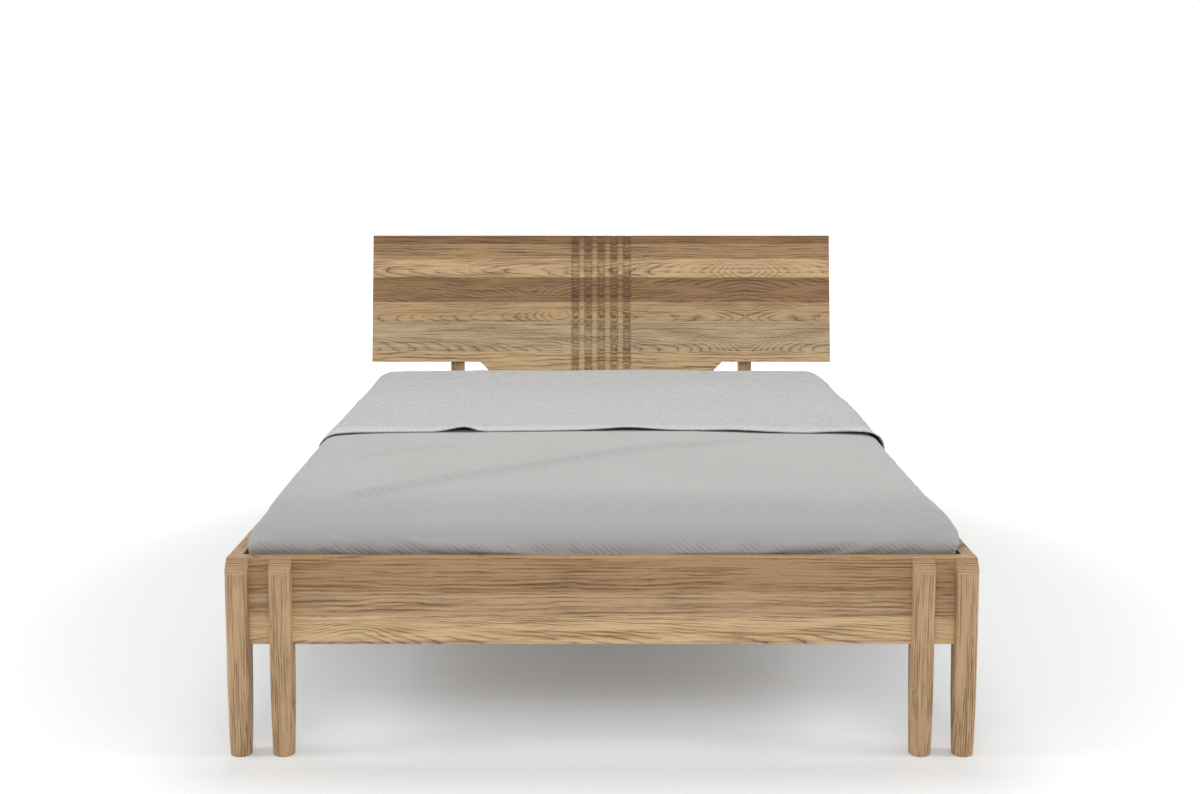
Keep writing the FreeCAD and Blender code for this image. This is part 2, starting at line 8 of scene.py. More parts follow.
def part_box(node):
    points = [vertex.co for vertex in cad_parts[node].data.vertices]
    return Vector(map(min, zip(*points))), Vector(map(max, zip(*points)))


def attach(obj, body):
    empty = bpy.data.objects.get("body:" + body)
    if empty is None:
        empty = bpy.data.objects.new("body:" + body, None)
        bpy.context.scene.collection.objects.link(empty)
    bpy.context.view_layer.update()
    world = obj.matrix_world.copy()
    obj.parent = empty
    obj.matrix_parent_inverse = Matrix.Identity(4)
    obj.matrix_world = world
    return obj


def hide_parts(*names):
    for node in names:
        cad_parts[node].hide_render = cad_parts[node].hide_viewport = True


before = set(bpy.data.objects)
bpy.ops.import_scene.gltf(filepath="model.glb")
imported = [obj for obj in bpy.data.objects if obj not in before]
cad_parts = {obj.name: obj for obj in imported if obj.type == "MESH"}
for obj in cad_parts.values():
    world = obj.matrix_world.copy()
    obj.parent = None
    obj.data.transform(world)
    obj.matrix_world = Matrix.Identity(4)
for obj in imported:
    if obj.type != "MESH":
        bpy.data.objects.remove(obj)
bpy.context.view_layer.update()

# The view ------------------------------------------------------------------
# A normal lens stands off the foot of the bed, a little above the mattress, and looks almost level.
# Part of the downward look is lens shift, which keeps the legs close to upright in the picture.

lens_length = 48.59
film_width = 36.0
lens_shift = -0.10
look_down = math.radians(4.99)
eye = Vector((-0.0038, -4.1922, 1.2281))

camera_data = bpy.data.cameras.new("camera")
camera_data.lens = lens_length
camera_data.sensor_width = film_width
camera_data.shift_y = lens_shift
camera = bpy.data.objects.new("camera", camera_data)
bpy.context.scene.collection.objects.link(camera)
bpy.context.scene.camera = camera
camera.location = eye
camera.rotation_euler = (math.pi / 2 - look_down, 0, 0)
bpy.context.scene.view_settings.view_transform = "Standard"


# End rails -----------------------------------------------------------------
# The foot and head rails are boards on edge, each glued up from three oak staves and oiled.
# The upper stave is brown with dark streaks, the lower one light with wide arches.


def tint(red, green, blue):
    """A colour read as it looks, in 0 to 255, as the light that it gives back."""
    parts = []
    for value in (red, green, blue):
        share = value / 255
        parts.append(share / 12.92 if share <= 0.04045 else ((share + 0.055) / 1.055) ** 2.4)
    return (*parts, 1.0)


class Shade:
    """One value of a finish. Sums written with it are worked out all over the surface."""

    def __init__(self, tree, socket=None):
        self.tree = tree
        self.socket = socket

    def node(self, kind, settings, inputs, out=0):
        made = self.tree.nodes.new("ShaderNode" + kind)
        for name, value in settings.items():
            if name == "stops":
                self.lay_stops(made.color_ramp, value)
            elif name == "steps":
                made.color_ramp.interpolation = value
            else:
                setattr(made, name, value)
        for name, value in inputs.items():
            if isinstance(value, Shade):
                self.tree.links.new(value.socket, made.inputs[name])
            else:
                made.inputs[name].default_value = value
        return Shade(self.tree, made.outputs[out])

    @staticmethod
    def lay_stops(ramp, stops):
        while len(ramp.elements) < len(stops):
            ramp.elements.new(0.5)
        while len(ramp.elements) > len(stops):
            ramp.elements.remove(ramp.elements[-1])
        for element, (place, colour) in zip(ramp.elements, stops):
            element.position = place
            element.color = colour if len(colour) == 4 else (*colour, 1.0)

    def sum(self, operation, first, second=0.0):
        return self.node("Math", {"operation": operation}, {0: first, 1: second})

    def __add__(self, other):
        return self.sum("ADD", self, other)

    def __radd__(self, other):
        return self.sum("ADD", other, self)

    def __sub__(self, other):
        return self.sum("SUBTRACT", self, other)

    def __rsub__(self, other):
        return self.sum("SUBTRACT", other, self)

    def __mul__(self, other):
        return self.sum("MULTIPLY", self, other)

    def __truediv__(self, other):
        return self.sum("DIVIDE", self, other)

    def __gt__(self, other):
        return self.sum("GREATER_THAN", self, other)

    def __pow__(self, other):
        return self.sum("POWER", self, other)

    def fraction(self):
        return self.sum("FRACT", self)

    def size(self):
        return self.sum("ABSOLUTE", self)

    def wave(self):
        return self.sum("SINE", self)

    def level(self, low, high):
        """0 below low, 1 above high, and a smooth rise between."""
        settings = {"interpolation_type": "SMOOTHSTEP"}
        return self.node("MapRange", settings, {"Value": self, "From Min": low, "From Max": high})

    def grey(self, stops):
        greys = [(place, (value, value, value)) for place, value in stops]
        return self.node("ValToRGB", {"stops": greys}, {0: self})

    def between(self, first, second, how="MIX"):
        settings = {"data_type": "RGBA", "blend_type": how}
        return self.node("Mix", settings, {0: self, 6: first, 7: second}, out=2)

    def cloud(self, x, y, z, detail=2.0, rough=0.5):
        """Soft random values from 0 to 1 over three scaled directions."""
        place = self.node("CombineXYZ", {}, {0: x, 1: y, 2: z})
        inputs = {"Vector": place, "Scale": 1.0, "Detail": detail, "Roughness": rough}
        return self.node("TexNoise", {}, inputs)


def blank_finish(name):
    """A new material: its shader, a Shade to write on, and the object's x, y and z."""
    finish = bpy.data.materials.new(name)
    finish.use_nodes = True
    tree = finish.node_tree
    shader = tree.nodes["Principled BSDF"]
    start = Shade(tree)
    place = start.node("TexCoord", {}, {}, out=3)
    x = start.node("SeparateXYZ", {}, {0: place})
    parts = x.socket.node.outputs
    return finish, shader, start, x, Shade(tree, parts[1]), Shade(tree, parts[2])


def feed(shade, shader, socket):
    shade.tree.links.new(shade.socket, shader.inputs[socket])


def raise_grain(shade, shader, height, depth):
    inputs = {"Height": height, "Strength": 1.0, "Distance": depth}
    feed(shade.node("Bump", {}, inputs), shader, "Normal")


ring_width = 0.0085
oak_stain = (0.32, 0.25, 0.19, 1.0)
palest_line = -0.16

plain_arch = (0.0, 0.0, 0.0, 0.0)
arch_most = 4000.0
drift_most = 40.0
arch_reach = 1.6
arch_width = 0.09
arch_blunt = 0.04
arch_tip = 0.35


def oak(name, grain, staves, low, high, seed, ring=ring_width, darker=None):
    """Oiled oak. grain gives the place along the grain, across the staves and into the board.

    Each stave is its lower edge in metres, its colour, how much its rings bend, their number to one
    usual ring, and its arch: how steep it is, its middle across and along, and the rings that it
    crosses in each metre. Every stave comes from another part of the tree. darker adds what one
    piece has besides, such as end grain. A cloud's numbers are its turns in each metre.
    """
    finish, shader, start, x, y, z = blank_finish(name)
    along, across, deep = grain(x, y, z)
    height = (across - low) / (high - low)
    tones = []
    cuts = []
    arches = []
    for index, (edge, tone, bend, count, arch) in enumerate(staves):
        place = max(0.0, (edge - low) / (high - low))
        steep, middle, centre, drift = arch
        tones.append((place, tone))
        cuts.append((place, (bend, ((index + seed) * 0.37) % 1.0, count)))
        middle_share = (middle - low) / (high - low)
        centre_share = centre / arch_reach + 0.5
        drift_share = drift / drift_most / 2 + 0.5
        arches.append((place, (steep / arch_most, middle_share, drift_share, centre_share)))
    steps = {"steps": "CONSTANT"}
    tone = height.node("ValToRGB", {"stops": tones, **steps}, {0: height})
    cut = height.node("ValToRGB", {"stops": cuts, **steps}, {0: height})
    arch = height.node("ValToRGB", {"stops": arches, **steps}, {0: height})
    centre = Shade(start.tree, arch.socket.node.outputs[1])
    bend = cut.node("SeparateColor", {}, {0: cut})
    parts = bend.socket.node.outputs
    shift = Shade(start.tree, parts[1]) * 90.0 + seed
    count = Shade(start.tree, parts[2])
    steep = arch.node("SeparateColor", {}, {0: arch})
    parts = steep.socket.node.outputs
    off = (height - Shade(start.tree, parts[1])) * (high - low)
    away = along - (centre - 0.5) * arch_reach
    drift = (Shade(start.tree, parts[2]) - 0.5) * (2 * drift_most)
    tip = away * away / (away * away + arch_width * arch_width) * arch_tip
    bowed = off * off * steep * arch_most + drift * ((away * away + arch_blunt**2) ** 0.5 + tip)
    figure = start.cloud(along * 1.9 + shift, across * 10.0 + shift, deep * 10.0, 1.0, 0.35)
    ripple = start.cloud(along * 11.0 + shift, across * 40.0, deep * 40.0, 2.0)
    rings = across * count / ring + figure * bend * 46.0 + ripple * 1.5 + bowed
    line = rings.fraction().grey([(0.0, 0.5), (0.05, 1.0), (0.17, 0.35), (0.5, 0.0), (1.0, 0.3)])
    fade = start.cloud(along * 5.0 + shift, across * 34.0, deep * 34.0, 2.0).level(0.32, 0.62)
    streak = start.cloud(along * 2.8 + shift, across * 90.0, deep * 90.0, 4.0, 0.62)
    hair = start.cloud(along * 7.0 + shift, across * 230.0, deep * 230.0, 3.0, 0.6)
    fibre = start.cloud(along * 24.0, across * 420.0, deep * 420.0, 3.0, 0.65)
    pore = fibre.level(0.54, 0.70)
    broad = start.cloud(along * 2.2 + shift * 3.0, across * 16.0, deep * 16.0, 1.0)
    dark = line * (fade * 0.95 + 0.12) + pore * 0.42 + (0.5 - hair) * 2.2
    dark = dark + (0.5 - streak) * 1.3 + (0.5 - broad) * 0.7
    if darker is not None:
        dark = dark + darker(across, deep)
    deepened = dark.node("Clamp", {}, {0: dark + 0.06, 1: palest_line})
    stained = deepened.between(tone, oak_stain, "MULTIPLY")
    feed(stained, shader, "Base Color")
    feed(0.46 + pore * 0.18 + line * 0.06, shader, "Roughness")
    raise_grain(start, shader, 0.0 - pore * 0.5 - line * fade * 0.5, 0.0005)
    shader.inputs["Specular IOR Level"].default_value = 0.3
    return finish


def finish_nodes(finish, names):
    """Gives pieces of the frame their finish."""
    for name in names:
        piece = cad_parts[name]
        piece.data.materials.clear()
        piece.data.materials.append(finish)


rail_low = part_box("foot_rail")[0].z
rail_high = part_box("foot_rail")[1].z
lower_joint = rail_low + 0.057
upper_joint = rail_low + 0.106
rail_arch = (1900.0, rail_low - 0.012, -0.49, 11.0)
rail_staves = [
    (rail_low, tint(224, 191, 147), 0.12, 0.3, rail_arch),
    (lower_joint, tint(199, 165, 127), 0.07, 0.9, plain_arch),
    (upper_joint, tint(181, 146, 107), 0.16, 1.2, plain_arch),
]
heart_dark = 0.13
edge_light = 0.10


def heart_band(across, deep):
    """The upper stave is darkest just over its glue line and pale along its upper edge."""
    up = across - upper_joint
    band = up.level(-0.003, 0.001) * (1 - up.level(0.016, 0.032))
    return band * heart_dark - up.level(0.024, 0.036) * edge_light


def rail_oak(name, grain, seed):
    return oak(name, grain, rail_staves, rail_low, rail_high, seed, darker=heart_band)


for rail, seed in (("foot_rail", 3.1), ("head_rail", 8.6)):
    end_rail_oak = rail_oak(rail + "_oak", lambda x, y, z: (x, z, y), seed)
    finish_nodes(end_rail_oak, [rail])


# Side rails ----------------------------------------------------------------
# Two longer boards of the same oak, with the grain running from foot to head. They hook on to the
# end rails.

for side, seed in (("right", 12.4), ("left", 17.9)):
    side_rail_oak = rail_oak("side_rail_oak_" + side, lambda x, y, z: (y, z, x), seed)
    finish_nodes(side_rail_oak, ["side_rail_" + side])


# Legs ----------------------------------------------------------------------
# Eight turned and notched legs of straight-grained oak, and the short one under the beam.
# Their sloping tops are cut across the rings, so they show curved end grain.

bevel_slope = 0.3
bow_spread = 1.6
bow_turns = 23.0
bow_height = 0.004
end_grain_dark = 0.16
grain_reach = 1.2
fine_ring = 0.0075
leg_staves = [(-grain_reach, tint(204, 170, 131), 0.13, 1.5, plain_arch)]


def cut_top(shade):
    """1 on faces that look up, such as a leg's sloping top, and 0 on the others."""
    normal = shade.node("NewGeometry", {}, {}, out=1)
    return normal.node("SeparateXYZ", {}, {0: normal}, out=2) > bevel_slope


def leg_grain(x, y, z):
    """Rings across the front of a leg, and in bows from front to back on its cut top."""
    cut = cut_top(x)
    bow = y * bow_spread + (x * bow_turns).wave().size() * bow_height
    return z * (1 - cut), x * (1 - cut) + bow * cut, y


def end_grain(across, deep):
    """Cut ends drink more oil and turn darker."""
    return cut_top(deep) * end_grain_dark


leg_oak = oak(
    "leg_oak",
    leg_grain,
    leg_staves,
    -grain_reach,
    grain_reach,
    5.7,
    ring=fine_ring,
    darker=end_grain,
)
leg_names = ["centre_leg"]
for end in ("foot", "head"):
    for row in ("outer", "inner"):
        for side in ("right", "left"):
            leg_names.append("leg_" + end + "_" + row + "_" + side)
finish_nodes(leg_oak, leg_names)


# Headboard -----------------------------------------------------------------
# One panel glued from seven staves, leaning back, fluted down the middle. The staves differ in
# colour and figure, and right of the flutes the figure is matched like a book, leaf to leaf.

dark_oak = tint(150, 117, 82)
brown_oak = tint(174, 141, 103)
tan_oak = tint(190, 159, 118)
light_oak = tint(205, 174, 133)
sap_oak = tint(192, 168, 134)
top_oak = tint(140, 108, 77)

panel_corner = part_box("headboard_panel")[0]
panel_lean = math.radians(9.0)
ear_height = 0.5
panel_face = panel_corner.y + (ear_height - panel_corner.z) * math.tan(panel_lean)
panel_start = -0.06
panel_end = 0.42
leaf_middle = 0.467
flute_edge = 0.0008
flute_floor = 0.007
flute_side_dark = 0.42
flute_middle_light = 0.16
panel_staves = [
    (panel_start, light_oak, 0.12, 0.6, plain_arch),
    (0.0334, sap_oak, 0.16, 0.1, (1300.0, 0.030, 0.0, -17.0)),
    (0.1286, tan_oak, 0.14, 0.1, (2600.0, 0.149, 0.60, 15.0)),
    (0.1914, dark_oak, 0.17, 1.3, (400.0, 0.30, 0.70, -14.0)),
    (0.2724, light_oak, 0.14, 0.2, (2800.0, 0.300, 0.0, 15.0)),
    (0.3321, brown_oak, 0.10, 0.9, plain_arch),
    (0.3807, top_oak, 0.30, 0.9, plain_arch),
]


def panel_grain(x, y, z):
    """Along the panel, up its slope and in from its leaning face."""
    back = y - panel_face
    rise = z - ear_height
    up_slope = rise * math.cos(panel_lean) + back * math.sin(panel_lean)
    inward = back * math.cos(panel_lean) - rise * math.sin(panel_lean)
    return (x - leaf_middle).size(), up_slope, inward


def painted_flute_shade(across, inward):
    """Painted shade in the flutes, darkest beside their edges and least along the middle."""
    side = inward.level(flute_edge, flute_edge * 2)
    middle = inward.level(flute_floor * 0.8, flute_floor)
    behind = inward.level(flute_floor * 1.4, flute_floor * 1.5)
    return (side * flute_side_dark - middle * flute_middle_light) * (1 - behind)


headboard_oak = oak(
    "headboard_oak",
    panel_grain,
    panel_staves,
    panel_start,
    panel_end,
    21.3,
    # darker: painted shade in the flutes
    darker=painted_flute_shade,
)
finish_nodes(headboard_oak, ["headboard_panel"])

post_staves = [(-grain_reach, tan_oak, 0.10, 1.4, plain_arch)]
post_oak = oak(
    "post_oak",
    lambda x, y, z: (z, x, y),
    post_staves,
    -grain_reach,
    grain_reach,
    31.8,
    ring=fine_ring,
)
finish_nodes(post_oak, ["headboard_post_right", "headboard_post_left"])


# Dowels --------------------------------------------------------------------
# Plain beech pins, two to each leg, hidden in the joints between the legs and the end rails.
# Each sits half in the leg and half in the rail.

bare_wood_stain = (0.55, 0.42, 0.28, 1.0)


def plain_wood(name, tone, seed, grain, ring):
    """Planed wood without oil. ring is the width of its year rings."""
    finish, shader, start, x, y, z = blank_finish(name)
    along, across, deep = grain(x, y, z)
    figure = start.cloud(along * 1.2 + seed, across * 8.0, deep * 8.0 + seed, 1.0)
    line = ((across + deep * 0.3) / ring + figure * 5.0).fraction()
    line = line.grey([(0.0, 0.0), (0.7, 0.35), (0.94, 1.0), (1.0, 0.0)])
    fibre = start.cloud(along * 14.0, across * 300.0, deep * 300.0, 2.0)
    dark = line * 0.3 + (0.5 - fibre) * 0.4 + 0.1
    feed(dark.between(tone, bare_wood_stain, "MULTIPLY"), shader, "Base Color")
    feed(0.6 + fibre * 0.2, shader, "Roughness")
    raise_grain(start, shader, fibre, 0.0003)
    return finish


beech = plain_wood("beech", tint(214, 178, 138), 2.0, lambda x, y, z: (y, x, z), 0.004)
finish_nodes(beech, ["leg_dowels"])


# Steel fittings ------------------------------------------------------------
# Pressed hook and socket plates, the beam's folded hangers, and all screws, bolts and the stud.
# Bright zinc on mild steel.

zinc, zinc_shader, zinc_start, x, y, z = blank_finish("zinc")
patch = zinc_start.cloud(x * 90.0, y * 90.0, z * 90.0, 3.0)
scratch = zinc_start.cloud(x * 900.0, y * 40.0, z * 900.0, 2.0)
feed(patch.between(tint(176, 178, 180), tint(206, 206, 204)), zinc_shader, "Base Color")
feed(0.3 + patch * 0.2 + scratch * 0.1, zinc_shader, "Roughness")
raise_grain(zinc_start, zinc_shader, scratch, 0.00005)
zinc_shader.inputs["Metallic"].default_value = 1.0
steel_names = [
    "rail_hook_plates",
    "rail_socket_plates",
    "rail_plate_screws",
    "beam_hanger_foot",
    "beam_hanger_head",
    "beam_hanger_screws",
    "ledger_screws",
    "slat_screws",
    "headboard_screws",
    "post_bolts",
    "centre_leg_stud",
]
finish_nodes(zinc, steel_names)


# Ledgers and centre beam ---------------------------------------------------
# Planed softwood, left bare: strips screwed inside the side rails, which carry the slats' ends,
# and the beam under the slats, which hangs in folded steel at both its ends.

frame_pine = plain_wood("frame_pine", tint(214, 184, 136), 6.0, lambda x, y, z: (y, x, z), 0.007)
finish_nodes(frame_pine, ["ledger_right", "ledger_left", "centre_beam"])


# Slats ---------------------------------------------------------------------
# Fourteen softwood boards across the bed, each from another plank, kept in step by two tapes.
# Only the two end boards are screwed down.

slat_count = 14
for index in range(slat_count):
    slat_pine = plain_wood(
        "slat_pine_%02d" % (index + 1),
        tint(220, 190 - index % 3 * 4, 143 - index % 4 * 5),
        index * 7.3,
        lambda x, y, z: (x, y, z),
        0.008,
    )
    finish_nodes(slat_pine, ["slat_%02d" % (index + 1)])

webbing, tape_shader, tape_start, x, y, z = blank_finish("webbing")
weave = (y * 2400.0).wave() * 0.5 + 0.5
ridge = (x * 1700.0).wave() * 0.5 + 0.5
feed((weave * ridge).between(tint(202, 200, 194), tint(230, 228, 222)), tape_shader, "Base Color")
raise_grain(tape_start, tape_shader, weave * ridge, 0.0003)
tape_shader.inputs["Roughness"].default_value = 0.85
finish_nodes(webbing, ["slat_tape_right", "slat_tape_left"])


# Mattress ------------------------------------------------------------------
# A foam block in quilted ticking, with a round edge round its top and bottom.
# It only shows between the slats and when it is lifted out.

mattress_low, mattress_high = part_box("mattress")
mattress_cell = 0.05
mattress_round = 0.034
mattress_corner = 0.055
mattress_crown = 0.005
side_waist = 0.004
foot_roll_start = -0.70
foot_roll_run = 0.32
foot_roll_drop = 0.016


def rise(value, low, high):
    """0 below low, 1 above high, and a smooth rise between."""
    share = max(0.0, min(1.0, (value - low) / (high - low)))
    return share * share * (3 - 2 * share)


def foot_roll(y):
    """How far the bed's top has fallen towards the foot, where the made-up mattress rounds off."""
    share = max(0.0, min(1.0, (foot_roll_start - y) / foot_roll_run))
    return foot_roll_drop * share * share


def cut_at(shell, axis, place, drop_below=False):
    """Cuts the whole shell by a plane square to an axis, and can drop what lies below it."""
    normal = Vector((0, 0, 0))
    normal[axis] = 1.0
    bmesh.ops.bisect_plane(
        shell,
        geom=shell.verts[:] + shell.edges[:] + shell.faces[:],
        dist=0.00005,
        plane_co=normal * place,
        plane_no=normal,
        clear_inner=drop_below,
    )


def sliced(shell, axis, places):
    """Cuts the shell at each place along an axis, so that it can bend there."""
    for place in places:
        cut_at(shell, axis, place)


def spaced(low, high, step):
    """Even places between two ends, about a step apart, without the ends."""
    count = max(1, round((high - low) / step))
    return [low + (high - low) * index / count for index in range(1, count)]


def rounded_block(low, high, corner, shoulder, open_below):
    """A block with round upright corners and a round upper edge."""
    shell = bmesh.new()
    bmesh.ops.create_cube(shell, size=1.0)
    bmesh.ops.scale(shell, vec=high - low, verts=shell.verts)
    bmesh.ops.translate(shell, vec=(low + high) / 2, verts=shell.verts)
    upright = [edge for edge in shell.edges if abs(edge.verts[0].co.z - edge.verts[1].co.z) > 0.01]
    bmesh.ops.bevel(
        shell,
        geom=upright,
        offset=corner,
        segments=8,
        profile=0.5,
        affect="EDGES",
        material=-1,
    )
    rims = []
    for edge in shell.edges:
        heights = [vert.co.z for vert in edge.verts]
        if min(heights) > high.z - 0.001 and len(edge.link_faces) == 2:
            if any(abs(face.normal.z) < 0.5 for face in edge.link_faces):
                rims.append(edge)
        elif not open_below and max(heights) < low.z + 0.001:
            if any(abs(face.normal.z) < 0.5 for face in edge.link_faces):
                rims.append(edge)
    bmesh.ops.bevel(
        shell,
        geom=rims,
        offset=shoulder,
        segments=6,
        profile=0.5,
        affect="EDGES",
        material=-1,
    )
    if open_below:
        floor_faces = [face for face in shell.faces if face.normal.z < -0.9]
        bmesh.ops.delete(shell, geom=floor_faces, context="FACES")
    return shell


def crowned(shell, low, high, crown):
    """Lifts the top a little towards the middle, and keeps the walls as they are."""
    middle = (low + high) / 2
    reach = (high - low) / 2
    for vert in shell.verts:
        across = 1 - ((vert.co.x - middle.x) / reach.x) ** 2
        along = 1 - ((vert.co.y - middle.y) / reach.y) ** 2
        share = max(0.0, min(1.0, (vert.co.z - low.z) / (high.z - crown - low.z)))
        vert.co.z += crown * across * along * share


def finished_piece(name, shell, finish):
    """Turns a shell into a smooth object of the scene with its finish."""
    bmesh.ops.recalc_face_normals(shell, faces=shell.faces[:])
    mesh = bpy.data.meshes.new(name)
    shell.to_mesh(mesh)
    shell.free()
    for polygon in mesh.polygons:
        polygon.use_smooth = True
    mesh.materials.append(finish)
    piece = bpy.data.objects.new(name, mesh)
    bpy.context.scene.collection.objects.link(piece)
    return piece


ticking, ticking_shader, start, x, y, z = blank_finish("mattress_ticking")
quilt = ((x + y) * 32.0).wave() * ((x - y) * 32.0).wave()
stitch = quilt.size().level(0.0, 0.12)
thread = start.cloud(x * 900.0, y * 900.0, z * 900.0, 1.0)
feed(thread.between(tint(214, 212, 205), tint(232, 230, 224)), ticking_shader, "Base Color")
raise_grain(start, ticking_shader, stitch + thread * 0.1, 0.004)
ticking_shader.inputs["Roughness"].default_value = 0.9

mattress_block_high = mattress_high - Vector((0, 0, mattress_crown))
block = rounded_block(mattress_low, mattress_block_high, mattress_corner, mattress_round, False)
sliced(block, 0, spaced(mattress_low.x, mattress_high.x, mattress_cell))
sliced(block, 1, spaced(mattress_low.y, mattress_high.y, mattress_cell))
crowned(block, mattress_low, mattress_high, mattress_crown)
for vert in block.verts:
    share = (vert.co.z - mattress_low.z) / (mattress_high.z - mattress_low.z)
    inward = side_waist * math.sin(math.pi * share)
    flat = Vector((vert.normal.x, vert.normal.y, 0))
    vert.co -= flat * inward
    vert.co.z -= share * foot_roll(vert.co.y)
mattress_pad = finished_piece("mattress_pad", block, ticking)
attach(mattress_pad, "bedding")
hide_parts("mattress")


# Cover ---------------------------------------------------------------------
# A grey spread over the whole mattress, its edges tucked down inside the rails. The cloth has fine
# slanting ribs. It was smoothed by hand, which left one long crease and small puckers at the rail.

cover_low, cover_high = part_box("cover")
cover_cell = 0.022
cover_side_cell = 0.018
cover_wall_cell = 0.012
cover_foot_cell = 0.010
cover_foot_run = 0.07
cover_tuck = 0.03
cover_corner = 0.062
cover_shoulder = 0.048
cover_crown = 0.005
crease_room = 0.0045
cover_slack = -0.006
mattress_skin = 0.005
settle_frames = 24

rail_line = 0.40
swell_line = 0.43
swell_least = 0.005
foot_swell = 0.014
rib_pitch = 0.0165
rib_across = 0.90
rib_along = 0.43
fold_pitch = 0.0150
fold_slope = 1.3
# Painted shade in the folds along the rail.
fold_painted_shade = 0.13
black = (0.0, 0.0, 0.0, 1.0)


def bump(value, middle, width):
    """1 at the middle, falling off smoothly to both sides."""
    return math.exp(-(((value - middle) / width) ** 2))


def pushed_out(x, y, z):
    """The swell of the bedding over the side rails. It was pulled crooked, to the right."""
    above = rise(z, rail_line, swell_line) * (1 - rise(z, 0.455, 0.475) * 0.4)
    if x > 0:
        swell = swell_least + 0.0095 * bump(y, 0.2, 0.42)
        swell += foot_swell * rise(-y, 0.70, 0.92)
    else:
        swell = swell_least + 0.008 * bump(y, -0.12, 0.38)
        swell -= foot_swell * rise(-y, 0.80, 1.0)
    return math.copysign(above * swell * rise(abs(x), 0.60, 0.70), x)


def flat_places(shell, low, high):
    """Stores each point's place on the flat cloth, in metres, for the weave to follow."""
    layer = shell.loops.layers.uv.new("cloth")
    middle = (low + high) / 2
    for face in shell.faces:
        for loop in face.loops:
            vert = loop.vert
            drop = high.z - vert.co.z
            out = Vector((vert.normal.x, vert.normal.y))
            if out.length > 0.001:
                out.normalize()
            loop[layer].uv = (
                vert.co.x - middle.x + out.x * drop,
                vert.co.y - middle.y + out.y * drop,
            )


def settled(piece, pinned, frames, slack, supports, skin):
    """Lets a sheet sink on to what carries it, held by its tucked edge, and keeps the result."""
    group = piece.vertex_groups.new(name="tucked")
    group.add(pinned, 1.0, "REPLACE")
    for support in supports:
        support.modifiers.new("Collision", "COLLISION")
        support.collision.thickness_outer = skin
        support.collision.cloth_friction = 12.0
    cloth = piece.modifiers.new("Cloth", "CLOTH")
    settings = cloth.settings
    settings.quality = 6
    settings.mass = 0.25
    settings.tension_stiffness = 30.0
    settings.compression_stiffness = 20.0
    settings.shear_stiffness = 12.0
    settings.bending_stiffness = 1.2
    settings.shrink_min = slack
    settings.vertex_group_mass = "tucked"
    cloth.collision_settings.distance_min = 0.0015
    cloth.collision_settings.use_self_collision = False
    scene = bpy.context.scene
    cloth.point_cache.frame_start = 1
    cloth.point_cache.frame_end = frames
    for frame_number in range(1, frames + 1):
        scene.frame_set(frame_number)
    graph = bpy.context.evaluated_depsgraph_get()
    shape = piece.evaluated_get(graph)
    places = [vert.co.copy() for vert in shape.data.vertices]
    piece.modifiers.remove(cloth)
    for vert, place in zip(piece.data.vertices, places):
        vert.co = place
    for support in supports:
        support.modifiers.remove(support.modifiers["Collision"])
    scene.frame_set(1)


def painted_tilt_shade(start, share, most):
    """Painted shade: how much darker the cloth is made where it tilts towards the foot of the bed.
    """
    normal = Shade(start.tree, start.node("NewGeometry", {}, {}, out=1).socket)
    tilt = start.node("SeparateXYZ", {}, {0: normal}, out=1)
    return start.node("Clamp", {}, {0: tilt * (0.0 - share), 1: 0.0, 2: most})


def cover_cloth():
    """Grey cloth with slanting ribs, which fade over the foot edge into small folds at the rail."""
    finish, shader, start, x, y, z = blank_finish("grey_spread")
    flat = start.node("UVMap", {"uv_map": "cloth"}, {})
    u = flat.node("SeparateXYZ", {}, {0: flat})
    v = Shade(start.tree, u.socket.node.outputs[1])
    wander = start.cloud(u * 2.2, v * 2.2, 0.0, 1.0)
    slant = u * rib_across + v * rib_along + wander * 0.05
    rib = (slant * (2 * math.pi / rib_pitch)).wave() * 0.5 + 0.5
    down_rib = (v * rib_across - u * rib_along) * 16.0
    broken = start.cloud(slant * 60.0, down_rib, 1.0, 1.0).level(0.36, 0.62)
    patch = start.cloud(u * 3.0 + 4.0, v * 3.0, 1.0, 2.0).level(0.3, 0.7)
    thread = start.cloud(u * 700.0, v * 700.0, 0.0, 2.0)
    mottle = start.cloud(u * 5.0, v * 5.0, 3.0, 2.0)
    # Painted shade: the cloth is darkened where it tilts towards the foot, along its fall to the
    # foot edge, in the grooves between the ribs and in the folds along the rail.
    tilt_shade = painted_tilt_shade(start, 0.6, 0.07)
    painted_foot_shade = (0.0 - y).level(0.70, 0.94) * 0.09
    flat_share = 1 - (0.0 - y).level(0.86, 0.99)
    rib_share = flat_share * 0.85 + 0.15
    painted_rib_shade = (1 - rib) * broken * (patch * 0.03 + tilt_shade * 0.9) * rib_share
    low = (0.432 - z).level(0.0, 0.020) * (0.0 - y).level(0.90, 0.98)
    across_folds = x + z * fold_slope + wander * 0.04
    fold = (across_folds * (2 * math.pi / fold_pitch)).wave() * 0.5 + 0.5
    uneven = start.cloud(x * 22.0, z * 12.0, 4.0, 1.0).level(0.34, 0.62)
    pucker = fold * fold * uneven * low
    tone = mottle.between(tint(182, 182, 180), tint(188, 188, 186))
    dark = tilt_shade + painted_foot_shade + painted_rib_shade + pucker * fold_painted_shade
    feed(dark.between(tone, black), shader, "Base Color")
    raised = rib * broken * (patch * 0.6 + 0.4) * rib_share
    raise_grain(start, shader, raised + thread * 0.14 - pucker * 0.8, 0.0010)
    shader.inputs["Roughness"].default_value = 0.92
    shader.inputs["Specular IOR Level"].default_value = 0.15
    return finish


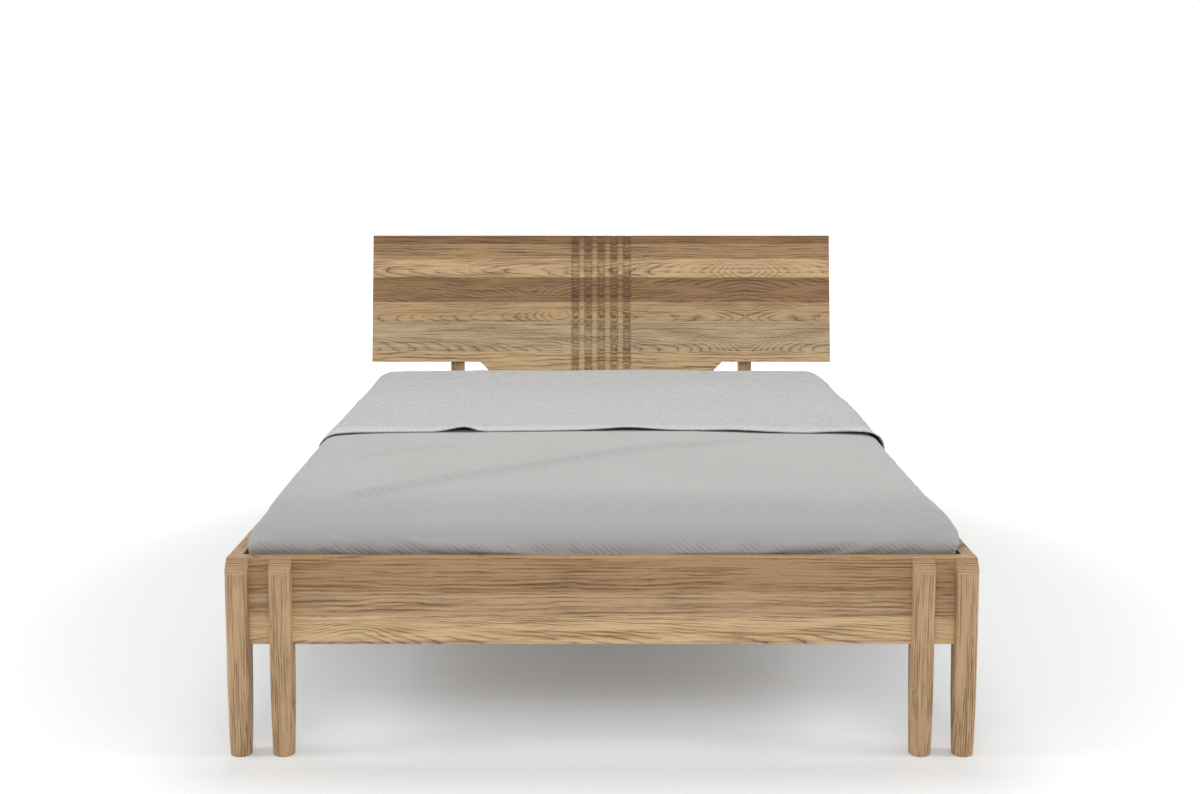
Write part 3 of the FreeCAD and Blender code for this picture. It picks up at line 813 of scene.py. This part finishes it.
cover_block_high = cover_high - Vector((0, 0, cover_crown + crease_room))
shell = rounded_block(cover_low, cover_block_high, cover_corner, cover_shoulder, True)
sliced(shell, 0, spaced(cover_low.x, cover_high.x, cover_side_cell))
foot_edge = cover_low.y + cover_foot_run
sliced(shell, 1, spaced(cover_low.y, foot_edge, cover_foot_cell))
sliced(shell, 1, [foot_edge])
sliced(shell, 1, spaced(foot_edge, cover_high.y, cover_cell))
sliced(shell, 2, spaced(cover_low.z, cover_high.z - cover_shoulder, cover_wall_cell))
bmesh.ops.recalc_face_normals(shell, faces=shell.faces[:])
shell.normal_update()
crowned(shell, cover_low, cover_block_high + Vector((0, 0, cover_crown)), cover_crown)
flat_places(shell, cover_low, cover_high)
for vert in shell.verts:
    vert.co.z -= rise(vert.co.z, cover_low.z, cover_block_high.z) * foot_roll(vert.co.y)
shell.verts.index_update()
tucked = [vert.index for vert in shell.verts if vert.co.z < cover_low.z + cover_tuck]
bed_cover = finished_piece("bed_cover", shell, cover_cloth())
settled(bed_cover, tucked, settle_frames, cover_slack, [mattress_pad], mattress_skin)


def course(points, x):
    """The height of a bent line over x, and how steep it is there."""
    for (x0, y0), (x1, y1) in zip(points, points[1:]):
        if x <= x1 or x1 == points[-1][0]:
            slope = (y1 - y0) / (x1 - x0)
            return y0 + slope * (x - x0), slope


def crease(x, y, points, height):
    """A shallow step in the cloth: it rises across a slanting line and falls back slowly."""
    line, slope = course(points, x)
    off = (y - line) / math.hypot(1.0, slope)
    start, end = points[0][0], points[-1][0]
    ends = rise(x, start, start + 0.16) * (1 - rise(x, end - 0.25, end))
    fall = rise(off, -0.030, 0.030) * math.exp(-max(0.0, off) / 0.16)
    return height * ends * fall


long_crease = [(-0.62, -0.87), (-0.337, -0.643), (-0.12, -0.476), (0.094, -0.300), (0.44, -0.165)]
short_crease = [(-0.68, -0.445), (-0.26, -0.19)]
long_height = 0.0085
short_height = 0.0045
corner_fill = 0.8
corner_across = (0.625, 0.665)
corner_along = (0.955, 1.005)
corner_up = (0.408, 0.436)
pucker_pitch = 0.030
pucker_slope = 1.3
pucker_place = 0.416
pucker_spread = 0.015
pucker_least = 0.005
pucker_depth = 0.005


def pressed(piece):
    """The creases of the spread, its fall towards the foot and the puckers along the rail."""
    for vert in piece.data.vertices:
        x, y, z = vert.co
        top = rise(z, rail_line, 0.46)
        step = crease(x, y, long_crease, long_height)
        step += crease(x, y, short_crease, short_height)
        swell = noise.noise(Vector((x * 2.6, y * 2.6, 2.0))) * 0.003
        vert.co.z += top * (step + swell)
        vert.co.x += pushed_out(x, y, z)
        corner = rise(abs(x), *corner_across) * rise(-y, *corner_along)
        corner *= corner_fill * (1 - rise(z, *corner_up))
        vert.co.x += math.copysign((cover_high.x - abs(x)) * corner, x)
        vert.co.y += (cover_low.y - y) * corner
        if y < foot_edge and z > cover_low.z + cover_tuck:
            low_share = bump(z, pucker_place, pucker_spread)
            slanted = x + (z - 0.41) * pucker_slope
            pucker = 0.5 + 0.5 * math.sin(slanted * 2 * math.pi / pucker_pitch)
            uneven = 0.5 + 0.9 * noise.noise(Vector((x * 6.0, 3.1, 0.0)))
            loose = 0.003 * noise.noise(Vector((x * 16.0, z * 20.0, 5.0)))
            depth = pucker_least + pucker_depth * pucker * max(0.15, uneven)
            vert.co.y -= low_share * depth + loose * top


pressed(bed_cover)
smooth = bed_cover.modifiers.new("Smooth", "SUBSURF")
smooth.levels = 1
smooth.render_levels = 1
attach(bed_cover, "bedding")
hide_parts("cover")


# Turned-down sheet ---------------------------------------------------------
# A lighter linen layer over the head half of the bed. Its hem stands a few millimetres off the
# spread, with one sharp little pleat left of the middle.

turn_low, turn_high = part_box("turndown")
turn_crown = 0.005
turn_corner = 0.067
turn_shoulder = 0.052
turn_cell = 0.018
turn_wall_cell = 0.014
turn_tuck = 0.02
turn_slack = -0.008
spread_skin = 0.003
turn_thickness = 0.0044
hem_place = -0.084
hem_cell = 0.010
hem_run = 0.06
hem_spread = 0.05
hem_gap = 0.0006
pleat_place = -0.348
pleat_height = 0.014
pleat_left_width = 0.048
pleat_right_width = 0.024
hem_swells = [(0.0075, 0.07, 0.08), (0.0035, 0.36, 0.09)]


def linen_cloth():
    """Pale slubbed linen, paler still in the band along its hem, which is painted light."""
    finish, shader, start, x, y, z = blank_finish("pale_linen")
    flat = start.node("UVMap", {"uv_map": "cloth"}, {})
    u = flat.node("SeparateXYZ", {}, {0: flat})
    v = Shade(start.tree, u.socket.node.outputs[1])
    warp = start.cloud(u * 420.0, v * 26.0, 0.0, 2.0, 0.6)
    weft = start.cloud(u * 26.0, v * 420.0, 5.0, 2.0, 0.6)
    slub = (warp * 0.5 + weft * 0.5).level(0.38, 0.64)
    mottle = start.cloud(u * 4.0, v * 4.0, 3.0, 2.0)
    pale = mottle.between(tint(205, 206, 206), tint(214, 215, 215))
    # Painted light: the band along the hem is paler and its specks stronger, where the hem catches
    # the light.
    painted_hem_light = (hem_place + 0.09 - y).level(0.0, 0.08)
    speck = start.cloud(u * 160.0, v * 160.0, 9.0, 2.0, 0.7).level(0.52, 0.68) * (painted_hem_light * 0.6 + 0.2)
    weave = (slub * 0.9 + painted_hem_light * 0.1).between(tint(181, 182, 182), pale)
    weave = (speck + painted_hem_light * 0.16).between(weave, tint(236, 236, 235))
    # Painted shade where the sheet tilts towards the foot.
    tilt_shade = painted_tilt_shade(start, 0.5, 0.2)
    feed(tilt_shade.between(weave, black), shader, "Base Color")
    raise_grain(start, shader, slub * 0.7, 0.0009)
    shader.inputs["Roughness"].default_value = 0.95
    shader.inputs["Specular IOR Level"].default_value = 0.12
    return finish


def hem_line(x):
    """Where the hem lies, from one side to the other: nearly straight, with a slow wander."""
    sides = -0.03 * rise(abs(x), 0.60, 0.72)
    wander = noise.noise(Vector((x * 17.0, 4.2, 0.0))) * 0.004
    return hem_place + 0.004 * math.sin(x * 4.1 + 0.6) + 0.003 * math.sin(x * 11.0) + wander + sides


def hem_lift(x):
    """How far the hem stands off the spread."""
    pleat_width = pleat_left_width if x < pleat_place else pleat_right_width
    lift = hem_gap + pleat_height * bump(x, pleat_place, pleat_width)
    for height, middle, width in hem_swells:
        lift += height * bump(x, middle, width)
    return lift + (0.007 * rise(x, 0.50, 0.66) + 0.002 * rise(-x, 0.55, 0.68))


turn_block_high = turn_high - Vector((0, 0, turn_crown))
turn_block_low = Vector((turn_low.x, cover_low.y, turn_low.z))
shell = rounded_block(turn_block_low, turn_block_high, turn_corner, turn_shoulder, True)
cut_at(shell, 1, hem_place, drop_below=True)
hem_end = hem_place + hem_run
wall_top = turn_block_high.z - turn_shoulder
sliced(shell, 0, spaced(turn_block_low.x, turn_high.x, turn_cell))
sliced(shell, 1, spaced(hem_place, hem_end, hem_cell))
sliced(shell, 1, [hem_end])
sliced(shell, 1, spaced(hem_end, turn_high.y, turn_cell))
sliced(shell, 2, spaced(turn_block_low.z, wall_top, turn_wall_cell))
bmesh.ops.recalc_face_normals(shell, faces=shell.faces[:])
shell.normal_update()
crowned(shell, turn_block_low, turn_high, turn_crown)
flat_places(shell, turn_block_low, turn_high)
for vert in shell.verts:
    vert.co.x += pushed_out(*vert.co)
shell.verts.index_update()
turn_tucked = [vert.index for vert in shell.verts if vert.co.z < turn_low.z + turn_tuck]
turned_sheet = finished_piece("turned_sheet", shell, linen_cloth())
settled(turned_sheet, turn_tucked, settle_frames, turn_slack, [bed_cover], spread_skin)


def set_hem(piece):
    """Moves the hem to its wandering line, stands it off the spread and swells the cloth."""
    for vert in piece.data.vertices:
        x, y, z = vert.co
        near = bump(y, hem_place, hem_spread)
        top = rise(z, rail_line, 0.45)
        swell = (noise.noise(Vector((x * 3.2 + y * 1.6, y * 3.6, 7.7))) + 0.42) * 0.005
        swell += noise.noise(Vector((x * 8.0, y * 6.0, 1.7))) * 0.0015
        head = 0.008 * rise(y, 0.60, 0.90)
        vert.co.z += (hem_lift(x) * near + swell * (1 - near * 0.7) + head) * top
        vert.co.y += (hem_line(x) - hem_place) * near
        vert.co.x += 0.004 * near * rise(x, 0.62, 0.70)
        vert.co.x -= 0.011 * rise(y, 0.72, 0.92) * rise(x, 0.60, 0.70)


set_hem(turned_sheet)
wall = turned_sheet.modifiers.new("Thickness", "SOLIDIFY")
wall.thickness = turn_thickness
wall.offset = -1.0
smooth = turned_sheet.modifiers.new("Smooth", "SUBSURF")
smooth.levels = 1
smooth.render_levels = 1
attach(turned_sheet, "bedding")
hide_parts("turndown")


# Floor and light -----------------------------------------------------------
# A plain white studio floor that keeps the bed's shadow, an even white room and four wide soft
# lamps: one overhead, one in front of the foot and one at each side. A glow that only the camera
# sees whitens the floor; it paints light into the shadow under the foot half of the bed, and
# near the bed it paints the shadow bluish.

floor_reach = 30.0
floor_tone = (0.81, 0.813, 0.813, 1.0)
near_glow = 0.145
far_glow = 0.9
foot_painted_light = 0.16
side_painted_light = 0.07
white = (1.0, 1.0, 1.0, 1.0)
painted_shadow_blue = (0.88, 1.0, 1.12, 1.0)
room_power = 0.54
room_brightness = 1.0
overhead_power = 46.0
front_power = 28.0
side_power = 52.0

shell = bmesh.new()
bmesh.ops.create_grid(shell, x_segments=1, y_segments=1, size=floor_reach)
studio, studio_shader, start, x, y, z = blank_finish("studio_floor")
studio_shader.inputs["Base Color"].default_value = floor_tone
studio_shader.inputs["Roughness"].default_value = 1.0
studio_shader.inputs["Specular IOR Level"].default_value = 0.0
floor = finished_piece("studio_floor", shell, studio)


def seen_directly(start):
    """1 for what the camera sees straight, in a gloss or through glass, and 0 for lighting."""
    path = start.node("LightPath", {}, {})
    ports = path.socket.node.outputs
    seen = Shade(start.tree, ports["Is Camera Ray"]) + Shade(start.tree, ports["Is Glossy Ray"])
    seen = seen + Shade(start.tree, ports["Is Transmission Ray"])
    return seen.node("Clamp", {}, {0: seen})


from_bed = (x * x + y * y) ** 0.5
glow_share = from_bed.level(1.15, 2.8)
to_foot = 0.0 - y
to_side = x.size()
past_foot = 1 - to_foot.level(0.98, 1.18)
# Painted light: the glow is raised under the foot end and under the sides of the foot half, lifting
# the bed's shadow there.
painted_light_at_foot = to_foot.level(0.66, 0.94) * past_foot * (1 - to_side.level(0.45, 0.72)) * foot_painted_light
painted_light_at_sides = to_side.level(0.25, 0.60) * (1 - to_side.level(0.72, 1.0)) * to_foot.level(0.1, 0.6)
painted_light_at_sides = painted_light_at_sides * past_foot * side_painted_light
strength = glow_share * (far_glow - near_glow) + near_glow + painted_light_at_foot + painted_light_at_sides
# Painted shade colour: near the bed the glow is bluish, which cools the shadow.
glow_colour = from_bed.level(0.95, 1.45).between(painted_shadow_blue, white)
glow = start.node("Emission", {}, {"Color": glow_colour, "Strength": strength})
plain = Shade(start.tree, studio_shader.outputs[0])
added = start.node("AddShader", {}, {0: plain, 1: glow})
shown = start.node("MixShader", {}, {0: seen_directly(start), 1: plain, 2: added})
start.tree.links.new(shown.socket, start.tree.nodes["Material Output"].inputs["Surface"])

room = bpy.data.worlds.new("room")
bpy.context.scene.world = room
room.use_nodes = True
start = Shade(room.node_tree)
room_light = start.node("Background", {}, {"Color": white, "Strength": room_power})
room_seen = start.node("Background", {}, {"Color": white, "Strength": room_brightness})
shown = start.node("MixShader", {}, {0: seen_directly(start), 1: room_light, 2: room_seen})
start.tree.links.new(shown.socket, room.node_tree.nodes["World Output"].inputs["Surface"])


def soft_lamp(name, place, aim, width, length, power):
    """A wide lamp at a place, turned to face what it aims at."""
    lamp_data = bpy.data.lights.new(name, "AREA")
    lamp_data.shape = "RECTANGLE"
    lamp_data.size = width
    lamp_data.size_y = length
    lamp_data.energy = power
    lamp = bpy.data.objects.new(name, lamp_data)
    bpy.context.scene.collection.objects.link(lamp)
    lamp.location = place
    lamp.rotation_euler = (Vector(aim) - Vector(place)).to_track_quat("-Z", "Y").to_euler()


soft_lamp("lamp_overhead", (0.0, 0.6, 3.8), (0.0, 0.3, 0.2), 2.0, 2.0, overhead_power)
soft_lamp("lamp_front", (0.0, -4.8, 2.3), (0.0, -0.9, 0.2), 3.0, 0.8, front_power)
for side in (-1, 1):
    side_place = (side * 4.4, -1.6, 2.2)
    soft_lamp("lamp_side", side_place, (0.0, -0.6, 0.1), 1.2, 1.6, side_power)
